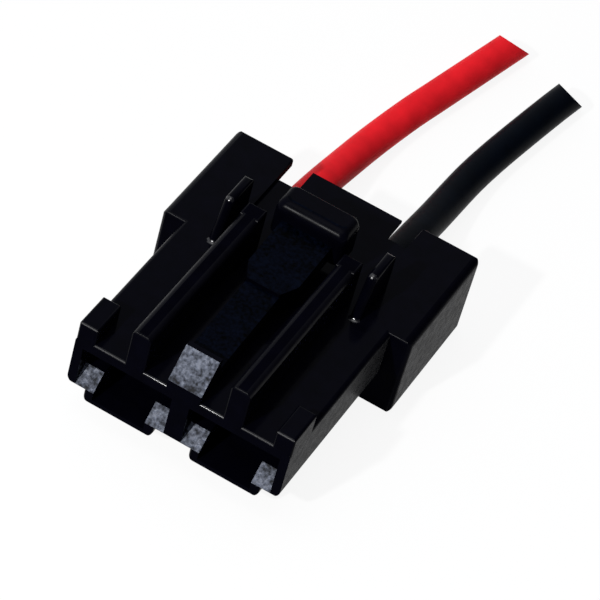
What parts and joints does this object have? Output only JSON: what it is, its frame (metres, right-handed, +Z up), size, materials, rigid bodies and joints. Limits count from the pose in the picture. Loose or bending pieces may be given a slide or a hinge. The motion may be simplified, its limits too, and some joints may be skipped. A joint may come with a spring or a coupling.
{
  "type": "fuel pump connector",
  "caption": "Black moulded plug housing with a thumb latch on top, guide rails, winged rear block and crimped blade receptacles on a red and a black wire.",
  "frame": {"origin": "on the standing surface, under the middle of the housing's box (the wires are left out)", "axes": "+X to the black wire's side, +Y from the mating face towards the wires, +Z up through the latch"},
  "size_m": [0.024, 0.0653, 0.0136],
  "materials": {
    "housing_plastic": "satin moulded, with a sparked texture on the ramps",
    "receptacle_metal": "tin-plated sheet",
    "strand_copper": "bare drawn strands",
    "red_insulation": "smooth extruded",
    "black_insulation": "smooth extruded"
  },
  "bodies": {
    "root": {"housing": "housing_plastic", "left_receptacle": "receptacle_metal", "right_receptacle": "receptacle_metal", "left_strands": "strand_copper", "right_strands": "strand_copper", "red_wire": "red_insulation", "black_wire": "black_insulation"}
  },
  "joints": []
}
